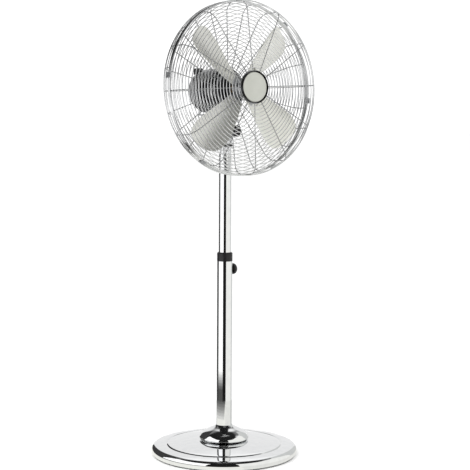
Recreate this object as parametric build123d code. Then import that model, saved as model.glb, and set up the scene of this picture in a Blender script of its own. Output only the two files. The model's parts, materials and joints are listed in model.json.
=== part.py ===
from build123d import *
from math import acos, atan2, cos, degrees, hypot, pi, radians, sin, sqrt
import os

# Chrome pedestal fan.  Millimetres, +Z up, floor at z = 0, pole on the Z axis, air blown towards -Y.

# ---- base and pole ----
BASE_R = 190.0
GROOVE_R = 150.0
SHEET = 1.4                 # spun cover thickness
LOWER_R, LOWER_IN = 20.0, 18.5
LOWER_TOP = 508.0
COLLAR_TOP = 531.0
MAST_R, MAST_IN = 16.0, 14.8
MAST_BOTTOM, MAST_TOP = 330.0, 825.0
CLAMP_Z = 486.0
# ---- neck ----
PIVOT_Z = 843.0             # tilt pivot height
REST_TILT = 3.0             # degrees the head leans back as drawn
AXLE_UP = 105.6             # motor axle above the tilt pivot
GUARD_FWD = 67.6            # guard mid-plane ahead of the tilt pivot
ANCHOR = (-22.0, 15.9)      # fixed pin of the oscillation link
# ---- motor ----
MOTOR_R, MOTOR_WALL = 57.0, 1.3
MOTOR_FRONT, MOTOR_BAND, MOTOR_NOSE, MOTOR_REAR = -52.2, -80.0, -134.0, -178.0
SHAFT_R = 4.0
CRANK_X, CRANK_Z, CRANK_THROW = -18.0, -154.0, 16.0
# ---- fan wheel ----
BLADES, BLADE_TIP, BLADE_PITCH, BLADE_T, BLADE_START = 4, 196.0, 24.0, 1.4, 48.5
WHEEL_FWD = 8.0             # fan wheel ahead of the guard's mid-plane
# ---- guard ----
WIRE_R, SPOKE_R, RIM_R = 1.0, 1.1, 2.5
RING_FIRST, RING_STEP, RING_COUNT = 48.6, 9.06, 23
FACE_IN, FACE_OUT = (46.0, 57.0), (191.0, 48.0)   # radius, depth of the front face line
REAR_LIFT = 7.0             # how much flatter the rear half is
SHOULDER = 29.0
SIDE_R = 220.0
RIM_RING_R = 218.5
CLIP_ANGLES = (90, 48, 172, 236, 296, 352)

HEAD = Pos(0, 0, PIVOT_Z) * Rot(-REST_TILT, 0, 0)
# fan space: x right, y up, z forward from the guard's mid-plane, origin on the axle
FAN = HEAD * Plane(origin=(0, -GUARD_FWD, AXLE_UP), x_dir=(1, 0, 0), z_dir=(0, -1, 0)).location

os.makedirs("parts", exist_ok=True)


def save(name, shape, place=None):
    """Write one node; several solids go out as one compound."""
    solids = shape if isinstance(shape, (list, tuple)) else [shape]
    if place is not None:
        solids = [place * item for item in solids]
    flat = [s for item in solids for s in item.solids()]
    export_step(flat[0] if len(flat) == 1 else Compound(children=flat), f"parts/{name}.step")


def rod(r, low, high, x=0.0, y=0.0, inner=0.0):
    """Cylinder or tube along Z."""
    solid = Pos(x, y, low) * extrude(Circle(r), high - low)
    if inner:
        solid -= Pos(x, y, low - 1) * extrude(Circle(inner), high - low + 2)
    return solid


def along_x(shape):
    return Rot(0, 90, 0) * shape


def spun(points, closed=True):
    """Revolve a polygon of (radius, z) points about Z."""
    face = make_face(Polyline(*[(r, 0, z) for r, z in points], close=closed))
    return revolve(face, Axis.Z)


def smooth_shell(outer, thickness):
    """Revolve a spline-topped profile of (radius, z) points, one wall thick, open below."""
    top = Spline(*[(r, 0, z) for r, z in outer])
    (r0, z0), (r1, z1) = outer[0], outer[-1]
    inner = []
    for i, (r, z) in enumerate(outer):
        a = outer[max(i - 1, 0)]
        b = outer[min(i + 1, len(outer) - 1)]
        t = hypot(b[0] - a[0], b[1] - a[1])
        nx, nz = (b[1] - a[1]) / t, -(b[0] - a[0]) / t
        inner.append((r - nx * thickness, z - nz * thickness))
    low = Spline(*[(r, 0, z) for r, z in inner])
    ends = [Line((r0, 0, z0), (inner[0][0], 0, inner[0][1])),
            Line((r1, 0, z1), (inner[-1][0], 0, inner[-1][1]))]
    return revolve(make_face([top, low] + ends), Axis.Z)


def knob(r, length, lobes=0, lobe_r=4.0, dome=3.0):
    """Grip along +Z from z = 0, rounded at the outer end, optionally fluted."""
    grip = extrude(Circle(r), length)
    grip = fillet(grip.edges().group_by(Axis.Z)[-1], dome)
    for k in range(lobes):
        a = 2 * pi * k / lobes
        d = r + lobe_r * 0.55
        grip -= Pos(d * cos(a), d * sin(a), -1) * extrude(Circle(lobe_r), length + 2)
    return grip


# ======================================================================= base
BODY_SEAM = 16.5
save("base_foot_ring", fillet(rod(178, 0, 3.0, inner=164).edges().group_by(Axis.Z)[0], 0.8))
save("base_pan", rod(183.5, 3.0, 4.5, inner=18))
save("base_weight", rod(128, 4.5, BODY_SEAM, inner=5.4) - rod(16, 4, 12))
bolt_head = Pos(0, 0, 4.8) * extrude(RegularPolygon(8.5, 6), 5.8)
save("base_bolt", bolt_head + rod(14, 10.6, 11.9) + rod(5.0, 10.6, 58))
socket = rod(44, BODY_SEAM, 20) + rod(18.4, 20, 66) - rod(5.1, 16, 60)
save("tube_socket", socket)

# domed cover: rolled rim, gentle dome, stepped groove ring, centre hole for the pole
rim = [(184.5, 2.2), (188.6, 6.0), (BASE_R, 12.0), (188.2, 18.4), (183.6, 23.0), (176.0, 25.6)]
dome = [(164.0, 27.4), (154.5, 28.5)]
groove = [(152.2, 28.0), (GROOVE_R, 26.6), (147.8, 28.4)]
crown = [(144.5, 29.6), (128.0, 32.0), (104.0, 35.2), (84.0, 37.2), (62.0, 38.6), (40.0, 39.2), (21.0, 39.3)]
save("base_cover", smooth_shell(rim + dome + groove + crown, SHEET))

# bell escutcheon over the joint of base and pole
bell = [(60.0, 40.4), (62.4, 41.4), (64.4, 43.4), (64.4, 45.8), (62.2, 50.2), (58.2, 55.4), (52.6, 60.2),
        (46.0, 64.2), (39.0, 67.6), (32.0, 70.6), (26.4, 73.4), (23.0, 75.6), (21.0, 77.6)]
save("escutcheon", smooth_shell(bell, 1.2))

# ======================================================================= pole
clamp_hole = Pos(0, 0, CLAMP_Z) * along_x(extrude(Circle(5.0), 40))
save("lower_tube", rod(LOWER_R, 20.2, LOWER_TOP, inner=LOWER_IN) - clamp_hole)
save("guide_bush", rod(18.4, 440, LOWER_TOP, inner=MAST_R + 0.08) - clamp_hole)
collar = rod(LOWER_R, LOWER_TOP + 0.1, COLLAR_TOP, inner=MAST_R + 0.3)
collar = chamfer(collar.edges().filter_by(GeomType.CIRCLE).group_by(Axis.Z)[-1].sort_by(SortBy.RADIUS)[-1], 2.5)
save("pole_collar", collar)
save("clamp_boss", Pos(0, 0, CLAMP_Z) * along_x(rod(4.95, 17.0, 21.4, inner=3.06)))
save("height_knob_grip", Pos(0, 0, CLAMP_Z) * along_x(Pos(0, 0, 22.0) * (knob(14.4, 12.2, 8, 3.0, 8.6))
                                                      - rod(3.4, 21, 30)))
save("height_knob_screw", Pos(0, 0, CLAMP_Z) * along_x(rod(3.0, 16.4, 29.8)))

# ======================================================================= mast
save("mast_tube", rod(MAST_R, MAST_BOTTOM, MAST_TOP, inner=MAST_IN))
save("mast_guide", rod(18.3, MAST_BOTTOM, MAST_BOTTOM + 22, inner=MAST_R + 0.02))
save("mast_plug", rod(14.7, 770, 825, inner=8.08) - rod(9.2, 769, 771))
cup = rod(18.6, 812, 826, inner=MAST_R + 0.05) + rod(18.6, 825.1, 826.4, inner=8.3)
cup = fillet(cup.edges().filter_by(GeomType.CIRCLE).group_by(Axis.Z)[-1].sort_by(SortBy.RADIUS)[-1], 1.2)
save("neck_cup", cup)

# anchor of the oscillation link: a ring under the cup with an upright pin
ax, ay = ANCHOR
reach = hypot(ax, ay)
arm = Rot(0, 0, degrees(atan2(ay, ax))) * Pos(reach / 2 + 8, 0, 808.5) * Box(reach - 16 + 4, 7, 6)
anchor = rod(19.4, 804, 811.8, inner=MAST_R + 0.05) + (arm - rod(17.5, 800, 815))
anchor += rod(3.4, 805.5, 840, ax, ay) + rod(2.5, 840, PIVOT_Z + 23, ax, ay)
save("link_anchor", anchor)

# ======================================================================= swivel yoke
yoke = rod(17.0, 826.6, 832.4) + rod(8.0, 772, 828) + rod(5.0, 764, 772)
for side in (-1, 1):
    cheek = Pos(side * 10.2, 0, 836.5) * Box(4.6, 22, 13) + Pos(side * 10.2, 0, PIVOT_Z) * along_x(
        Pos(0, 0, -2.3) * extrude(Circle(11.0), 4.6))
    yoke += cheek
yoke -= Pos(0, 0, PIVOT_Z) * along_x(Pos(0, 0, -20) * extrude(Circle(3.05), 40))
save("swivel_yoke", yoke)
save("swivel_clip", rod(11.5, 768.2, 769.8, inner=5.05))
bolt = rod(3.0, -13.0, 32.0) + Pos(0, 0, -17.0) * extrude(RegularPolygon(6.4, 6), 4.0)
save("tilt_bolt", Pos(0, 0, PIVOT_Z) * along_x(bolt))

grip = knob(16.0, 15.0, 7, 4.2, 3.5) + rod(9.0, -8.5, 0.5)
grip -= rod(4.6, -10, 10)
save("tilt_knob_grip", Pos(25.0, 0, PIVOT_Z) * along_x(grip))
save("tilt_knob_insert", Pos(25.0, 0, PIVOT_Z) * along_x(rod(4.55, -8.4, 8.0, inner=3.06)))

# ======================================================================= head: neck and motor
foot = rod(11.5, 12.5, 49) + along_x(Pos(0, 0, -7.6) * extrude(Circle(9.6), 15.2))
foot += Pos(0, 0, 6) * Box(15.2, 19, 16) + Pos(0, -1.5, 47) * Box(34, 26, 14)
foot -= Pos(0, 0, AXLE_UP) * Rot(90, 0, 0) * Pos(0, 0, -60) * extrude(Circle(MOTOR_R + 0.3), 120)
foot -= along_x(Pos(0, 0, -20) * extrude(Circle(3.06), 40))
save("neck_foot", foot, HEAD)

# black front shield with the bearing boss that carries the rear guard
shield = spun([(9.0, -60), (12, -60), (12, -56.4), (53.0, -56.4), (54.4, -58.4), (54.4, MOTOR_BAND),
               (MOTOR_R - 0.4, MOTOR_BAND), (MOTOR_R - 0.4, -58.5), (55.6, -55.0), (52.6, MOTOR_FRONT),
               (21.0, MOTOR_FRONT), (21.0, -34.0), (9.0, -34.0)])
save("motor_front_shield", shield, FAN)

# bullet-shaped rear cover: straight, then a shoulder arc running into a flatter tail arc
NOSE_ARC = 36.0
depth = MOTOR_NOSE - MOTOR_REAR
flat_arc = ((MOTOR_R - NOSE_ARC) ** 2 + depth ** 2 - NOSE_ARC ** 2) / (2 * (depth - NOSE_ARC))
tail_turn = atan2(flat_arc - depth, MOTOR_R - NOSE_ARC)      # where the arcs meet, from the radial


def bullet(wall):
    """Half section of the cover at one wall offset, front edge to tail."""
    small, big = NOSE_ARC - wall, flat_arc - wall
    cx, cz = MOTOR_R - NOSE_ARC, MOTOR_REAR + flat_arc

    def on_small(a):
        return cx + small * cos(a), 0, MOTOR_NOSE - small * sin(a)

    def on_big(a):
        return big * cos(a), 0, cz - big * sin(a)
    rim_pt = (MOTOR_R - wall, 0, MOTOR_BAND - 0.2)
    return [Line(rim_pt, on_small(0)),
            ThreePointArc(on_small(0), on_small(tail_turn / 2), on_small(tail_turn)),
            ThreePointArc(on_small(tail_turn), on_big((tail_turn + pi / 2) / 2), (0, 0, MOTOR_REAR + wall))]


outer, inner = bullet(0.0), bullet(MOTOR_WALL)
caps = [Line(outer[0] @ 0, inner[0] @ 0), Line(outer[2] @ 1, inner[2] @ 1)]
cover = revolve(make_face(outer + inner + caps), Axis.Z)
column = Pos(CRANK_X, 0, CRANK_Z) * Rot(-90, 0, 0)      # local z runs up the clutch shaft
cover -= column * rod(5.0, -70, 0)
cover -= column * rod(13.0, 30, 70)
cover -= Pos(40, -10, -104) * along_x(extrude(Circle(4.2), 40))
cover -= Pos(24, -30, -112) * Rot(90, 0, 0) * extrude(Circle(6.7), 40)
save("motor_rear_cover", cover, FAN)

core = rod(42, -120, -84, inner=24)
slots = [Rot(0, 0, 30 * k) * Pos(33, 0, -121) * extrude(Rectangle(10, 5), 38) for k in range(12)]
for slot in slots:
    core -= slot
save("stator_core", core, FAN)
coils = []
for low, high, end in ((-83.7, -74, -1), (-130, -120.3, 0)):
    coil = rod(38, low, high, inner=27)
    coils.append(fillet(coil.edges().filter_by(GeomType.CIRCLE).group_by(Axis.Z)[end], 3))
save("stator_windings", coils, FAN)
save("bearing_front", rod(8.98, -52, -36, inner=SHAFT_R + 0.04), FAN)
save("bearing_rear", rod(8.0, -137.8, -131, inner=SHAFT_R + 0.04), FAN)
save("rear_bracket", rod(54, -133.9, -131) + rod(11, -138, -132) - rod(8.05, -142, -130), FAN)
case = column * rod(17, -10, 10) + Pos(0, 0, -152.4) * Box(22, 20, 21.6)
case -= column * rod(15.2, -7, 7)
case -= column * rod(3.2, -12, 12)
case -= rod(6.2, -172, -136)
save("gearbox_case", case, FAN)
save("cord_gland", Pos(24, -46.5, -112) * Rot(90, 0, 0) * Pos(0, 0, 4.4) * (rod(6.5, 0, 12) + rod(4.6, 12, 20)
                                                                          - rod(3.2, 1, 21)), FAN)
switch = rod(8.0, 43.4, 51.6) + rod(3.0, 51, 53.5)
save("speed_switch", Pos(0, -10, -104) * along_x(switch), FAN)

# ======================================================================= fan wheel
rotor_turn = [90.0 * k + BLADE_START for k in range(BLADES)]
# shaft with the worm cut on its tail end
worm = [(0, -165.0), (4.7, -165.0)]
for k in range(8):
    z = -163.4 + 2.4 * k
    worm += [(4.7, z), (5.3, z + 0.5), (5.3, z + 1.1), (4.7, z + 1.6)]
worm += [(4.7, -144.0), (SHAFT_R, -144.0), (SHAFT_R, 25.0 + WHEEL_FWD), (0, 25.0 + WHEEL_FWD)]
save("rotor_shaft", spun(worm), FAN)
save("rotor_core", rod(23.2, -120, -84, inner=SHAFT_R), FAN)
hub = rod(17, -15, 12, inner=SHAFT_R)
hub = fillet(hub.edges().filter_by(GeomType.CIRCLE).group_by(Axis.Z)[-1].sort_by(SortBy.RADIUS)[-1], 2.0)
nut = spun([(SHAFT_R + 0.02, 12.2), (13, 12.2), (13, 16), (8.5, 24), (8.5, 27.5), (0, 29.5), (0, 25.3),
            (SHAFT_R + 0.02, 25.3)])
WHEEL = FAN * Pos(0, 0, WHEEL_FWD)
# section across a blade, hollow towards the front: gentle on the leading side, lipped on the trailing side
SECTION = [(-66, 13.6), (-50, 8.6), (-34, 4.2), (-17, 1.1), (0, 0.0), (16, 1.0), (28, 3.6), (37, 7.0),
           (44, 11.0), (50, 15.6), (55, 20.2)]


def cambered(gap, thickness):
    """Sheet that follows the blade section, used for blades and the arms behind them."""
    upper = [(0, y, z - gap) for y, z in SECTION]
    lower = [(0, y, z - gap - thickness) for y, z in SECTION]
    front, back = Spline(*upper), Spline(*lower)
    ends = [Line(upper[0], lower[0]), Line(upper[-1], lower[-1])]
    return extrude(make_face([front, back] + ends), 230, dir=(1, 0, 0))


def blade_outline():
    """Paddle: wide root, square-shouldered tip with rounded corners."""
    pts = [(34, -17), (50, -20), (90, -32), (130, -44), (160, -49), (178, -47), (190, -36), (195, -18),
           (BLADE_TIP, 0), (193, 18), (184, 33), (168, 41), (130, 43), (90, 35), (50, 26), (34, 21)]
    edge = Spline(*pts)
    return make_face([edge, Line(pts[-1], pts[0])])


def in_pitch(shape, angle):
    return Rot(0, 0, angle) * Rot(BLADE_PITCH, 0, 0) * shape


rivet_spots = [(46, -9), (46, 9), (66, 0)]
blade = cambered(0.0, BLADE_T) & Pos(0, 0, -30) * extrude(blade_outline(), 60)
arm_face = make_face(Polyline((10, -9), (44, -15), (64, -12), (76, -5), (76, 5), (64, 12), (44, 15), (10, 9), close=True))
arm = cambered(BLADE_T + 0.15, 2.0) & Pos(0, 0, -30) * extrude(arm_face, 60)
pins = []
for px, py in rivet_spots:
    seat = Pos(px, py, 0)
    pins.append(seat * (rod(2.2, -4.6, 2.0) + rod(4.2, 1.3, 3.0)))
    hole = seat * rod(2.3, -10, 10)
    blade -= hole
    arm -= hole
spider = hub
for k, angle in enumerate(rotor_turn):
    save(f"blade_{k + 1}", in_pitch(blade, angle), WHEEL)
    spider += in_pitch(arm, angle)
save("hub_spider", spider - rod(SHAFT_R, -20, 20), WHEEL)
save("blade_rivets", [in_pitch(p, angle) for angle in rotor_turn for p in pins], WHEEL)
save("spinner_nut", nut, WHEEL)

# ======================================================================= oscillation drive
teeth = rod(12.2, -4, 4) - rod(3.0, -5, 5)
for k in range(24):
    a = 2 * pi * k / 24
    teeth -= Pos(12.9 * cos(a), 12.9 * sin(a), -5) * extrude(Circle(1.1), 10)
save("worm_wheel", column * teeth, FAN)
save("clutch_shaft", column * rod(3.0, -58.8, 20), FAN)
arm = rod(7.5, -62.6, -59.0) + rod(6.5, -62.6, -59.0, 0, CRANK_THROW) + Pos(0, CRANK_THROW / 2, -60.8) * Box(
    11, CRANK_THROW, 3.6) + rod(3.0, -70.6, -62, 0, CRANK_THROW)
crank_up = Pos(CRANK_X, 0, CRANK_Z) * Rot(-90, 0, 0)
# local z is up, so local y points away from the guard (towards the tail); the throw faces the neck
save("crank_arm", crank_up * Rot(0, 0, 180) * arm, FAN)
link_from = (CRANK_X, CRANK_Z + CRANK_THROW)
link_to = (-22.0, -81.6)
span = hypot(link_to[0] - link_from[0], link_to[1] - link_from[1])
turn = degrees(atan2(-(link_to[1] - link_from[1]), link_to[0] - link_from[0]))
bar = rod(6.2, -1.7, 1.7) + rod(5.5, -1.7, 1.7, span) + Pos(span / 2, 0, 0) * Box(span, 7, 3.4)
bar -= rod(3.06, -3, 3)
bar -= rod(3.3, -3, 3, span)
save("drive_link", Pos(link_from[0], -68.2, link_from[1]) * Rot(-90, 0, 0) * Rot(0, 0, turn) * bar, FAN)

# pull-up oscillation knob in the top of the motor cover
pull = Pos(0, 0, 44.0) * knob(12.4, 16.0, 0, 0, 2.5)
pull += rod(3.6, 25, 46)
save("oscillation_knob", column * pull, FAN)
dial = knob(11.0, 12.0, 12, 1.6, 2.0) + rod(3.5, -4.4, 1)
save("speed_knob", Pos(58.2, -10, -104) * along_x(dial), FAN)


# ======================================================================= guard
def guard_profile(lift):
    """Centre line of the face, shoulder and side of one half, as (radius, depth) at arc length s."""
    (r0, d0), (r1, d1) = (FACE_IN[0], FACE_IN[1] - lift), (FACE_OUT[0], FACE_OUT[1] - lift)
    slope = atan2(d1 - d0, r1 - r0)
    shoulder = SIDE_R - r1
    cx, cd = SIDE_R - shoulder, d1 - shoulder
    start = r0 + (RING_FIRST - FACE_IN[0])
    length = hypot(r1 - start, (d1 - d0) * (r1 - start) / (r1 - r0))
    arc = shoulder * pi / 2

    def at(s):
        if s <= length:
            return start + s * cos(slope), d0 + (start - r0) * (d1 - d0) / (r1 - r0) + s * sin(slope)
        if s <= length + arc:
            a = pi / 2 - (s - length) / shoulder
            return cx + shoulder * cos(a), cd + shoulder * sin(a)
        return SIDE_R, cd - (s - length - arc)
    return at, length


def ring_at(r, d, wire=WIRE_R):
    return Pos(0, 0, d) * Torus(r, wire)


def guard_half(prefix, lift, spokes, first_angle, mirror_half, plate_inner):
    """Face rings, side rings, spokes, rim ring and hub plate of one half guard."""
    at, length = guard_profile(lift)
    flip = Rot(180, 0, 0) if mirror_half else Rot(0, 0, 0)
    face, side = [], []
    for k in range(RING_COUNT):
        r, d = at(k * RING_STEP)
        if d < 8.0:
            continue
        (face if k * RING_STEP <= length + 0.5 else side).append(flip * ring_at(r, d))
    drop = WIRE_R + SPOKE_R + 0.05
    d_in, d_out = FACE_IN[1] - lift - drop, FACE_OUT[1] - lift - drop
    r_arc = SHOULDER - drop
    inner_face = d_in - 0.0
    start, end = (42.5, inner_face), (FACE_OUT[0] - 0.5, d_out)
    tilt = degrees(atan2(end[1] - start[1], end[0] - start[0]))
    run = hypot(end[0] - start[0], end[1] - start[1])
    straight = Pos(start[0], 0, start[1]) * Rot(0, 90 - tilt, 0) * extrude(Circle(SPOKE_R), run)
    corner = (FACE_OUT[0] + 0.2, d_out)
    side_r = SIDE_R - drop
    path = Line((corner[0] - 0.1, 0, corner[1]), (corner[0], 0, corner[1]))
    bend_c = (side_r - r_arc, corner[1] - r_arc)
    bend = ThreePointArc((bend_c[0], 0, corner[1]),
                         (bend_c[0] + r_arc * cos(pi / 4), 0, bend_c[1] + r_arc * sin(pi / 4)),
                         (side_r, 0, bend_c[1]))
    down = Line((side_r, 0, bend_c[1]), (side_r, 0, 5.9))
    elbow = sweep(Plane(origin=(bend_c[0], 0, corner[1]), z_dir=(1, 0, 0)) * Circle(SPOKE_R),
                  path=Wire([bend, down]) if bend_c[1] > 6.5 else Wire([bend]))
    for k in range(spokes):
        a = first_angle + 360.0 / spokes * k
        if mirror_half:
            a = -a
        face.append(flip * Rot(0, 0, a) * straight)
        side.append(flip * Rot(0, 0, a) * elbow)
    save(f"{prefix}_face", face, FAN)
    save(f"{prefix}_side", side, FAN)
    save(f"{prefix}_rim", flip * ring_at(RIM_RING_R, RIM_R + 0.15, RIM_R), FAN)
    return inner_face


front_d = guard_half("guard_front", 0.0, 12, 2.0, False, 0)
rear_d = guard_half("guard_rear", REAR_LIFT, 24, 2.0, True, 21)

# hub plates: front one carries the centre cap, rear one sits on the motor boss
tab = Rot(0, 0, -13) * (Pos(0, -43.6, front_d) * Box(8, 6.4, 2 * SPOKE_R) - rod(1.2, 40, 70, 0, -44.4))
plate = rod(42.2, front_d - SPOKE_R, 56.8) + tab
save("guard_front_plate", plate, FAN)

save("guard_rear_plate", rod(42.2, MOTOR_FRONT + 0.1, -rear_d + SPOKE_R, inner=21.3), FAN)
ring_nut = rod(33, -rear_d + SPOKE_R + 0.1, -rear_d + SPOKE_R + 9, inner=21.3)
for k in range(8):
    a = 2 * pi * k / 8
    ring_nut -= rod(3.4, -rear_d + SPOKE_R + 3, -rear_d + SPOKE_R + 12, 34.5 * cos(a), 34.5 * sin(a))
save("guard_ring_nut", ring_nut, FAN)
# dished cap: raised rim, shadow groove, flat disc set back inside it
CAP_R, CAP_LIP, DISC_R, GROOVE_OUT = 41.0, 63.0, 37.3, 39.4
cap = spun([(0, 57.0), (CAP_R, 57.0), (CAP_R, CAP_LIP - 0.8), (CAP_R - 0.7, CAP_LIP), (GROOVE_OUT, CAP_LIP),
            (GROOVE_OUT, 58.0), (DISC_R, 58.0), (DISC_R, 59.6), (DISC_R - 0.9, 60.3), (0, 60.3)])
save("centre_cap", cap, FAN)

clip_face = make_face(Polyline((223.4, 0, -9), (223.4, 0, 9), (221.7, 0, 9), (221.7, 0, 7.2), (218.9, 0, 7.2),
                               (218.9, 0, 5.5), (221.7, 0, 5.5), (221.7, 0, -5.5), (218.9, 0, -5.5),
                               (218.9, 0, -7.2), (221.7, 0, -7.2), (221.7, 0, -9), close=True))
clip = Pos(0, 7, 0) * extrude(clip_face, 14, dir=(0, -1, 0))
save("rim_clips", [Rot(0, 0, a) * clip for a in CLIP_ANGLES], FAN)
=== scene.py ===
import json
from math import atan2, cos, pi, radians, sin, tan

import bpy
from mathutils import Matrix, Vector


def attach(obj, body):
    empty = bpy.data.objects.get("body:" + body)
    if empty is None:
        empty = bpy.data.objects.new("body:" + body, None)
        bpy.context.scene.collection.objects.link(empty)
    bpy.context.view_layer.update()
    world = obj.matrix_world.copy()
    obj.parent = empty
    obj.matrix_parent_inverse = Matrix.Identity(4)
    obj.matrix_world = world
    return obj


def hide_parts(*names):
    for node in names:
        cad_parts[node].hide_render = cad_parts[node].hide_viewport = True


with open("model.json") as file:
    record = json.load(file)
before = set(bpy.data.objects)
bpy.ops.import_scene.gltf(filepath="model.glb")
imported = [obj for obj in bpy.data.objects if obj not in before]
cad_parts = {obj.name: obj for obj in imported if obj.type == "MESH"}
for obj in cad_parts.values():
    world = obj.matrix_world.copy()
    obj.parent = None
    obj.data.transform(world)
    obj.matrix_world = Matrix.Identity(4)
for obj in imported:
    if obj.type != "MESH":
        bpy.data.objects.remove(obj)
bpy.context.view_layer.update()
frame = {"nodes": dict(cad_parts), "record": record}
nodes = frame["nodes"]

# ------------------------------------------------------------------ places shared with the CAD, in metres
HEAD_TILT = radians(3.0)                # the head is drawn tipped back
TILT_PIVOT = (0, 0, 0.843)
AXLE_UP = 0.1056                        # the fan's axle above the tilt pivot
GUARD_FWD = 0.0676                      # the guard's seam in front of the pivot
HEAD = Matrix.Translation(TILT_PIVOT) @ Matrix.Rotation(-HEAD_TILT, 4, "X")
# fan space: its origin is where axle and seam cross, x to the side, y up, z forward along the axle
FAN = HEAD @ Matrix.Translation((0, -GUARD_FWD, AXLE_UP)) @ Matrix.Rotation(radians(90), 4, "X")

# ------------------------------------------------------------------ camera
CAMERA_SIDE = -37.0                     # degrees about the pole, from the fan's front
CAMERA_DISTANCE, CAMERA_HEIGHT = 3.564, 0.921
LENS, SENSOR = 106.1, 36.0              # millimetres


def photo_camera():
    """The photograph's view: in front of the fan and to one side, level with its head."""
    pan, pitch, roll = radians(0.42), radians(5.54), radians(0.3)
    side = Matrix.Rotation(radians(CAMERA_SIDE), 3, "Z")
    forward = side @ Vector((sin(pan) * cos(pitch), cos(pan) * cos(pitch), -sin(pitch)))
    level_right = side @ Vector((cos(pan), -sin(pan), 0))
    level_up = level_right.cross(forward)
    right = level_right * cos(roll) + level_up * sin(roll)
    up = level_up * cos(roll) - level_right * sin(roll)
    turned = Matrix((right, up, -forward)).transposed().to_4x4()
    camera = bpy.data.objects.new("camera", bpy.data.cameras.new("camera"))
    bpy.context.scene.collection.objects.link(camera)
    camera.matrix_world = Matrix.Translation(side @ Vector((0, -CAMERA_DISTANCE, CAMERA_HEIGHT))) @ turned
    camera.data.sensor_width = SENSOR
    camera.data.lens = LENS
    bpy.context.scene.camera = camera


photo_camera()


# ------------------------------------------------------------------ materials
class Mat:
    """A small wrapper for building one procedural material."""

    def __init__(self, name):
        self.material = bpy.data.materials.new(name)
        self.material.use_nodes = True
        self.tree = self.material.node_tree
        self.shader = self.tree.nodes["Principled BSDF"]
        self.place = self.node("ShaderNodeTexCoord").outputs["Object"]

    def set(self, **values):
        """Set uniform values on the shader's own sockets; an underscore stands for a space."""
        for socket, value in values.items():
            self.shader.inputs[socket.replace("_", " ")].default_value = value
        return self

    def node(self, kind, **settings):
        new = self.tree.nodes.new(kind)
        for key, value in settings.items():
            setattr(new, key, value)
        return new

    def link(self, output, socket):
        self.tree.links.new(output, socket)

    def noise(self, size, detail, stretch=(1, 1, 1)):
        """Noise factor; size is its frequency per metre and stretch multiplies it along each axis."""
        mapping = self.node("ShaderNodeMapping")
        mapping.inputs["Scale"].default_value = stretch
        self.link(self.place, mapping.inputs["Vector"])
        noise = self.node("ShaderNodeTexNoise")
        noise.inputs["Scale"].default_value = size
        noise.inputs["Detail"].default_value = detail
        noise.inputs["Roughness"].default_value = 0.55
        self.link(mapping.outputs["Vector"], noise.inputs["Vector"])
        return noise.outputs["Fac"]

    def shades(self, factor, dark, light):
        """Colour between dark and light, over the middle part of a noise factor."""
        ramp = self.node("ShaderNodeValToRGB")
        for stop, position, colour in zip(ramp.color_ramp.elements, (0.3, 0.7), (dark, light)):
            stop.position = position
            stop.color = (*colour, 1)
        self.link(factor, ramp.inputs["Fac"])
        return ramp.outputs["Color"]

    def span(self, factor, low, high):
        """Value between low and high, over the middle half of a noise factor."""
        span = self.node("ShaderNodeMapRange")
        span.inputs["From Min"].default_value = 0.25
        span.inputs["From Max"].default_value = 0.75
        span.inputs["To Min"].default_value = low
        span.inputs["To Max"].default_value = high
        self.link(factor, span.inputs["Value"])
        return span.outputs["Result"]

    def bump(self, height, strength, distance):
        bump = self.node("ShaderNodeBump")
        bump.inputs["Strength"].default_value = strength
        bump.inputs["Distance"].default_value = distance
        self.link(height, bump.inputs["Height"])
        self.link(bump.outputs["Normal"], self.shader.inputs["Normal"])

    def colour(self, output):
        self.link(output, self.shader.inputs["Base Color"])

    def roughness(self, output):
        self.link(output, self.shader.inputs["Roughness"])


def metal(name, dark, light, roughness, size=60.0, stretch=(1, 1, 1), bump=0.03, fine=900.0, metallic=1.0):
    """Metal whose shade and sheen wander a little, with a fine grain where bump isn't zero."""
    mat = Mat(name).set(Metallic=metallic)
    mat.colour(mat.shades(mat.noise(size, 3, stretch), dark, light))
    mat.roughness(mat.span(mat.noise(size * 2.3, 5, stretch), *roughness))
    if bump:
        mat.bump(mat.noise(fine, 2, stretch), bump, 0.0002)
    return mat.material


def plastic(name, dark, light, roughness, size=700.0, bump=0.25, coat=0.0):
    """Moulding, rubber or paint, with a fine grain of the given size."""
    mat = Mat(name).set(Coat_Weight=coat, Coat_Roughness=0.12, Specular_IOR_Level=0.3)
    mat.colour(mat.shades(mat.noise(45, 3), dark, light))
    mat.roughness(mat.span(mat.noise(size * 0.5, 4), *roughness))
    mat.bump(mat.noise(size, 2), bump, 0.00025)
    return mat.material


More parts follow.
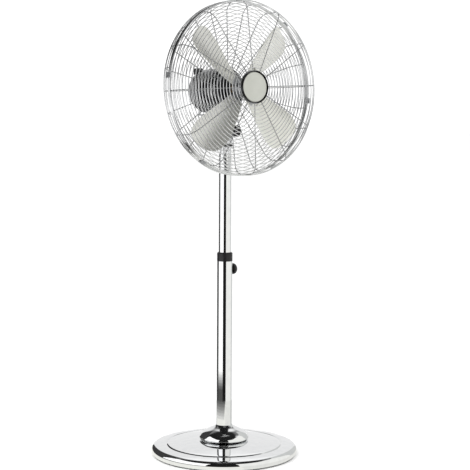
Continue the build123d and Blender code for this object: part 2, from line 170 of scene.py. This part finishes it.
def satin_cap():
    """Satin disc in a glossy rim painted dark as shade and reflection; the change is at a radius from the
    fan's axle.
    """
    disc_r, rim_r = 0.0376, 0.0380
    # the rim's near-black colour is painted shade and painted dark reflection of the groove round the disc
    painted_rim_shade, rim_roughness = (0.05, 0.05, 0.052, 1), 0.07
    mat = Mat("satin_cap").set(Metallic=1.0)

    from_axle = mat.node("ShaderNodeVectorMath", operation="SUBTRACT")
    mat.link(mat.place, from_axle.inputs[0])
    from_axle.inputs[1].default_value = FAN.translation
    across = mat.node("ShaderNodeVectorMath", operation="CROSS_PRODUCT")
    mat.link(from_axle.outputs["Vector"], across.inputs[0])
    across.inputs[1].default_value = FAN.to_3x3() @ Vector((0, 0, 1))
    radius = mat.node("ShaderNodeVectorMath", operation="LENGTH")
    mat.link(across.outputs["Vector"], radius.inputs[0])
    # mask of the ring round the disc that gets the painted shade
    rim = mat.node("ShaderNodeMapRange")
    rim.inputs["From Min"].default_value = disc_r
    rim.inputs["From Max"].default_value = rim_r
    mat.link(radius.outputs["Value"], rim.inputs["Value"])

    # a colour mix has its factor, A and B at sockets 0, 6 and 7, and a value mix at 0, 2 and 3
    tone = mat.node("ShaderNodeMix", data_type="RGBA")
    mat.link(rim.outputs["Result"], tone.inputs[0])
    mat.link(mat.shades(mat.noise(30, 3), (0.66, 0.67, 0.61), (0.72, 0.73, 0.67)), tone.inputs[6])
    tone.inputs[7].default_value = painted_rim_shade
    sheen = mat.node("ShaderNodeMix")
    mat.link(rim.outputs["Result"], sheen.inputs[0])
    mat.link(mat.span(mat.noise(70, 5), 0.36, 0.44), sheen.inputs[2])
    sheen.inputs[3].default_value = rim_roughness

    mat.colour(tone.outputs[2])
    mat.roughness(sheen.outputs[0])
    mat.bump(mat.noise(1600, 2), 0.04, 0.0002)
    return mat.material


BY_SLOT = {
    "chrome_plate": metal("chrome_plate", (0.80, 0.81, 0.82), (0.86, 0.865, 0.87), (0.025, 0.06), bump=0.0),
    "wire_chrome": metal("wire_chrome", (0.72, 0.725, 0.73), (0.80, 0.805, 0.81), (0.03, 0.06), bump=0.0),
    "steel_bare": metal("zinc_steel", (0.42, 0.43, 0.44), (0.60, 0.61, 0.62), (0.25, 0.42), 90),
    "iron": metal("cast_iron", (0.05, 0.05, 0.052), (0.11, 0.11, 0.115), (0.55, 0.8), 120,
                  bump=0.5, fine=350),
    "lamination": metal("lamination", (0.22, 0.23, 0.24), (0.38, 0.39, 0.40), (0.35, 0.5), 40, (1, 60, 1),
                        bump=0.3, fine=200),
    "copper": metal("varnished_copper", (0.16, 0.07, 0.035), (0.26, 0.12, 0.06), (0.3, 0.45), 120,
                    bump=0.4, fine=500),
    "brass_part": metal("turned_brass", (0.62, 0.45, 0.18), (0.78, 0.60, 0.30), (0.2, 0.35), 90),
    "blade_alu": metal("satin_aluminium", (0.82, 0.82, 0.77), (0.87, 0.87, 0.82), (0.26, 0.36), 30,
                       bump=0.05, fine=1500, metallic=0.8),
    "cap_paint": satin_cap(),
    "black_plastic": plastic("black_moulding", (0.006, 0.006, 0.007), (0.014, 0.014, 0.015), (0.26, 0.38),
                             900, 0.12),
    "black_paint": plastic("black_enamel", (0.008, 0.008, 0.009), (0.018, 0.018, 0.02), (0.2, 0.32),
                           500, 0.1, coat=0.3),
    "rubber_black": plastic("black_rubber", (0.012, 0.012, 0.012), (0.028, 0.028, 0.028), (0.6, 0.8),
                            600, 0.35),
    "nylon": plastic("natural_nylon", (0.70, 0.69, 0.63), (0.82, 0.81, 0.76), (0.4, 0.55), 400, 0.15),
}
# the spokes are the rings' chrome made darker, as a painted dark reflection
SPOKE_PAINTED_DARK = metal("spoke_chrome_painted_dark", (0.30, 0.305, 0.31), (0.38, 0.385, 0.39), (0.08, 0.16), bump=0.0)
# the motor cover is plain chrome; its near-black colour is a painted dark reflection
DARK_REFLECTION_CHROME = metal("chrome_painted_dark_reflection", (0.018, 0.019, 0.023), (0.03, 0.032, 0.038), (0.05, 0.1), bump=0.0)
BRONZE = metal("sintered_bronze", (0.14, 0.10, 0.05), (0.20, 0.145, 0.08), (0.4, 0.55), 200,
               bump=0.2, fine=600)
BY_NODE = {
    "motor_rear_cover": DARK_REFLECTION_CHROME,
    "rim_clips": BY_SLOT["steel_bare"],
    "bearing_front": BRONZE,
    "bearing_rear": BRONZE,
}

slot_of = {part["node"]: part["material_slot"] for part in frame["record"]["subparts"]}
for name, piece in nodes.items():
    material = BY_NODE.get(name, BY_SLOT[slot_of[name]])
    if not piece.material_slots:
        piece.data.materials.append(material)
    for slot in piece.material_slots:
        slot.material = material

# ------------------------------------------------------------------ wire guard
# the centre line of the front half's rings, as radius from the axle and depth from the seam
FACE_START, FACE_END = (0.046, 0.057), (0.191, 0.048)
REAR_SHALLOWER = 0.007
SHOULDER = 0.029                        # bend between face and side
SIDE_R, RIM_R = 0.220, 0.2185
RING_FIRST, RING_STEP, RINGS = 0.0486, 0.00906, 23
RING_LEAST_DEPTH = 0.008                # no ring comes nearer the seam than this
SPOKE_INNER_R, SPOKE_END_DEPTH = 0.0425, 0.0056
SPOKE_POINTS = 60
SPOKES_FRONT, SPOKES_REAR, SPOKE_FIRST = 12, 24, 2.0
WIRE, SPOKE, RIM = 0.001, 0.0011, 0.0025        # radii of the wires
RIM_GAP = 0.00015


def guard_line(shallower, inset=0.0):
    """One half's centre line, moved inward by inset, and its length as far as the end of the shoulder.

    The line is a function of the distance along it from the first ring, and gives radius and depth.
    """
    (start_r, start_d), (end_r, end_d) = FACE_START, FACE_END
    slope = atan2(end_d - start_d, end_r - start_r)
    first_depth = start_d - shallower + (RING_FIRST - start_r) * tan(slope) - inset
    face = (end_r - RING_FIRST) / cos(slope)
    bend = SHOULDER - inset
    bend_depth = end_d - shallower - SHOULDER
    shoulder_end = face + bend * pi / 2

    def at(along):
        if along <= 0:
            return RING_FIRST + along, first_depth
        if along <= face:
            return RING_FIRST + along * cos(slope), first_depth + along * sin(slope)
        if along <= shoulder_end:
            angle = (shoulder_end - along) / bend
            return end_r + bend * cos(angle), bend_depth + bend * sin(angle)
        return SIDE_R - inset, bend_depth - (along - shoulder_end)
    return at, shoulder_end


def wire_piece(name, lines, closed, radius, material, resolution=3):
    """Round wires along lines given in fan space, as one curve object that rides on the head."""
    curve = bpy.data.curves.new(name, "CURVE")
    curve.dimensions = "3D"
    curve.bevel_depth = radius
    curve.bevel_resolution = resolution
    curve.use_fill_caps = True
    for line in lines:
        spline = curve.splines.new("POLY")
        spline.points.add(len(line) - 1)
        for point, place in zip(spline.points, line):
            point.co = (*(FAN @ Vector(place)), 1)
        spline.use_cyclic_u = closed
        spline.use_smooth = True
    curve.materials.append(material)
    piece = bpy.data.objects.new(name, curve)
    bpy.context.scene.collection.objects.link(piece)
    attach(piece, "head")
    return piece


def circle(radius, depth, points=160):
    angles = [2 * pi * k / points for k in range(points)]
    return [(radius * cos(a), radius * sin(a), depth) for a in angles]


def half_guard(tag, shallower, spokes, side):
    """Rings, spokes and rim wire of one half; side is 1 for the front and -1 for the rear."""
    at, _ = guard_line(shallower)
    places = [at(k * RING_STEP) for k in range(RINGS)]
    rings = [circle(r, side * d) for r, d in places if d >= RING_LEAST_DEPTH]
    ring_piece = wire_piece(f"guard_{tag}_rings", rings, True, WIRE, BY_SLOT["wire_chrome"])

    at, shoulder_end = guard_line(shallower, inset=WIRE + SPOKE)
    start = SPOKE_INNER_R - RING_FIRST
    end = shoulder_end + at(shoulder_end)[1] - SPOKE_END_DEPTH
    path = [at(start + (end - start) * k / SPOKE_POINTS) for k in range(SPOKE_POINTS + 1)]
    angles = [radians(SPOKE_FIRST + 360.0 / spokes * k) for k in range(spokes)]
    ribs = [[(r * cos(a), r * sin(a), side * d) for r, d in path] for a in angles]
    wire_piece(f"guard_{tag}_spokes", ribs, False, SPOKE, SPOKE_PAINTED_DARK)

    rim = [circle(RIM_R, side * (RIM + RIM_GAP), 200)]
    rim_piece = wire_piece(f"guard_{tag}_rim_wire", rim, True, RIM, BY_SLOT["wire_chrome"], 5)
    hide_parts(f"guard_{tag}_face", f"guard_{tag}_side")
    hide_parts(f"guard_{tag}_rim")


half_guard("front", 0.0, SPOKES_FRONT, 1)
half_guard("rear", REAR_SHALLOWER, SPOKES_REAR, -1)


# ------------------------------------------------------------------ floor, light and surroundings
def bearing(right_of_camera, up=0.0, distance=1.0):
    """Point at this angle to the right of the camera's side of the pole, and this angle up, in degrees."""
    turn, rise = radians(CAMERA_SIDE + right_of_camera), radians(up)
    return Vector((sin(turn) * cos(rise), -cos(turn) * cos(rise), sin(rise))) * distance


def floor():
    """Plain pale floor, just under the foot."""
    half, drop = 30.0, 0.0002
    mesh = bpy.data.meshes.new("floor")
    corners = [(-half, -half, 0), (half, -half, 0), (half, half, 0), (-half, half, 0)]
    mesh.from_pydata(corners, [], [(0, 1, 2, 3)])
    ground = bpy.data.objects.new("floor", mesh)
    bpy.context.scene.collection.objects.link(ground)
    mat = Mat("pale_floor").set(Roughness=0.7, Specular_IOR_Level=0.2)
    mat.colour(mat.shades(mat.noise(2.0, 2), (0.88, 0.88, 0.88), (0.90, 0.90, 0.90)))
    mesh.materials.append(mat.material)
    ground.location.z = -drop


# the studio that only reflections see: a dim room with soft round patches, each given by its
# bearing, angle up, half width and softness in degrees, and its brightness; later ones cover earlier ones
ROOM, WHITE_LIGHT = 0.22, 1.2
PATCHES = [
    (180, 6, 36, 12, 0.90),             # pale wall behind
    (62, 22, 48, 16, 0.80),             # big screen on the right
    (-52, 5, 50, 8, 1.25),              # big screen on the left
    (-25, 66, 52, 10, 0.015),           # dark ceiling
    (150, 80, 24, 12, 0.02),            # dark ceiling, towards the back
    (178, 46, 15, 8, 1.1),              # overhead strip behind
    (128, 5, 22, 14, 0.28),             # grey corner on the right
    (-124, 10, 24, 8, 0.02),            # dark gap on the left
]


def surroundings():
    """White world for light and background, and the patchy room in reflections."""
    world = bpy.data.worlds.new("studio")
    bpy.context.scene.world = world
    world.use_nodes = True
    world.node_tree.nodes.clear()
    new, link = world.node_tree.nodes.new, world.node_tree.links.new
    direction = new("ShaderNodeTexCoord").outputs["Generated"]
    value = new("ShaderNodeValue").outputs["Value"]
    value.default_value = ROOM
    for right, up, half, soft, level in PATCHES:
        dot, edge, patch = new("ShaderNodeVectorMath"), new("ShaderNodeMapRange"), new("ShaderNodeMix")
        dot.operation = "DOT_PRODUCT"
        dot.inputs[1].default_value = bearing(right, up)
        link(direction, dot.inputs[0])
        edge.interpolation_type = "SMOOTHSTEP"
        edge.inputs["From Min"].default_value = cos(radians(half + soft / 2))
        edge.inputs["From Max"].default_value = cos(radians(half - soft / 2))
        link(dot.outputs["Value"], edge.inputs["Value"])
        link(edge.outputs["Result"], patch.inputs["Factor"])
        link(value, patch.inputs["A"])
        patch.inputs["B"].default_value = level
        value = patch.outputs["Result"]
    room, white = new("ShaderNodeBackground"), new("ShaderNodeBackground")
    link(value, room.inputs["Color"])
    white.inputs["Color"].default_value = (1, 1, 1, 1)
    white.inputs["Strength"].default_value = WHITE_LIGHT
    choice = new("ShaderNodeMixShader")
    link(new("ShaderNodeLightPath").outputs["Is Glossy Ray"], choice.inputs["Fac"])
    link(white.outputs["Background"], choice.inputs[1])
    link(room.outputs["Background"], choice.inputs[2])
    link(choice.outputs["Shader"], new("ShaderNodeOutputWorld").inputs["Surface"])


SET_R, SET_TOP, SKIRT_TOP = 0.66, 0.76, 0.040       # the ring of screens, and the dark skirt of one


def glow(name, mesh, colour):
    """Glowing stage piece that only reflections see."""
    panel = bpy.data.objects.new(name, mesh)
    bpy.context.scene.collection.objects.link(panel)
    material = bpy.data.materials.new(name)
    material.use_nodes = True
    tree = material.node_tree
    tree.nodes.clear()
    output, emission = tree.nodes.new("ShaderNodeOutputMaterial"), tree.nodes.new("ShaderNodeEmission")
    emission.inputs["Color"].default_value = (*colour, 1)
    tree.links.new(emission.outputs["Emission"], output.inputs["Surface"])
    mesh.materials.append(material)
    panel.visible_camera = panel.visible_shadow = panel.visible_diffuse = False


def curved_panel(name, start, end, low_edge, high_edge, colour, step=3.0):
    """Panel round the fan between two bearings; each edge is a radius and a height."""
    count = round((end - start) / step)
    turns = [start + (end - start) * k / count for k in range(count + 1)]
    rows = [bearing(turn, 0, r) + Vector((0, 0, z)) for r, z in (low_edge, high_edge) for turn in turns]
    mesh = bpy.data.meshes.new(name)
    mesh.from_pydata(rows, [], [(k, k + 1, count + 2 + k, count + 1 + k) for k in range(count)])
    glow(name, mesh, colour)


def upright(name, start, end, bottom, top, colour, radius=SET_R):
    """Screen standing round the fan."""
    curved_panel(name, start, end, (radius, bottom), (radius, top), colour)


def on_floor(name, start, end, inner, outer, colour, height):
    """Part of a ring lying on the floor."""
    curved_panel(name, start, end, (inner, height), (outer, height), colour)


def lamp(name, place, aim, size, energy):
    """Square area light that reflections don't see."""
    light = bpy.data.objects.new(name, bpy.data.lights.new(name, "AREA"))
    light.data.shape = "RECTANGLE"
    light.data.size = light.data.size_y = size
    light.data.energy = energy
    light.location = place
    light.rotation_euler = (Vector(aim) - place).to_track_quat("-Z", "Y").to_euler()
    light.visible_glossy = False
    bpy.context.scene.collection.objects.link(light)


def warm(level, blue=1.0):
    """Grey of this level, warmer as its share of blue goes down."""
    return level, level, level * blue


floor()
surroundings()

# the screens: white on the left, black on the camera's side, cream on the right and grey beyond it
LEFT, NEAR_LEFT, NEAR_RIGHT, RIGHT, FAR_RIGHT = -97, -24, 21, 112, 148      # bearings where they meet
upright("flag_left", -150, LEFT, 0.0, SET_TOP, warm(0.05))
upright("screen_left", LEFT, NEAR_LEFT, SKIRT_TOP, SET_TOP, warm(1.35))
upright("skirt_left", LEFT, NEAR_LEFT, 0.0, SKIRT_TOP, (0.09, 0.09, 0.087))
upright("flag_near", NEAR_LEFT, NEAR_RIGHT, 0.0, SET_TOP, warm(0.012))
upright("screen_right", NEAR_RIGHT, RIGHT, 0.0, SET_TOP, (1.0, 1.0, 0.965))
upright("screen_far_right", RIGHT, FAR_RIGHT, 0.0, SET_TOP, (0.66, 0.67, 0.66))

# the white screen's lower edge fades into its dark skirt
SKIRT_STEP, SKIRT_R = 0.009, SET_R - 0.001
for k, level in enumerate([0.16, 0.28, 0.42, 0.60, 0.80, 1.05]):
    bottom = SKIRT_TOP + SKIRT_STEP * k
    upright(f"skirt_fade_{k}", LEFT, NEAR_LEFT, bottom, bottom + SKIRT_STEP, warm(level, 0.98), SKIRT_R)

# the floor: light round the base, and darker by rings towards the screens at its front and left
FLOOR_INNER, FADE_INNER, FLOOR_UP, FADE_UP = 0.185, 0.42, 0.0005, 0.0006
FADE = [0.15, 0.22, 0.32, 0.44, 0.58, 0.76]
ring_width = (SET_R - FADE_INNER) / len(FADE)
for k, level in enumerate(FADE):
    outer = SET_R - ring_width * k
    on_floor(f"floor_fade_{k}", -152, 16 - 3 * k, outer - ring_width, outer, warm(level, 0.97), FADE_UP)
on_floor("floor_front", -128, 16, FLOOR_INNER, SET_R, (1.0, 1.0, 0.94), FLOOR_UP)
on_floor("floor_right", 16, RIGHT, FLOOR_INNER, SET_R, (0.90, 0.90, 0.86), FLOOR_UP)
on_floor("floor_back", RIGHT, 232, FLOOR_INNER, SET_R, (0.58, 0.59, 0.58), FLOOR_UP)
lamp("key", bearing(-35, 48, 3.6), (0, 0, 0.5), 1.8, 40)

bpy.context.scene.view_settings.view_transform = "Standard"
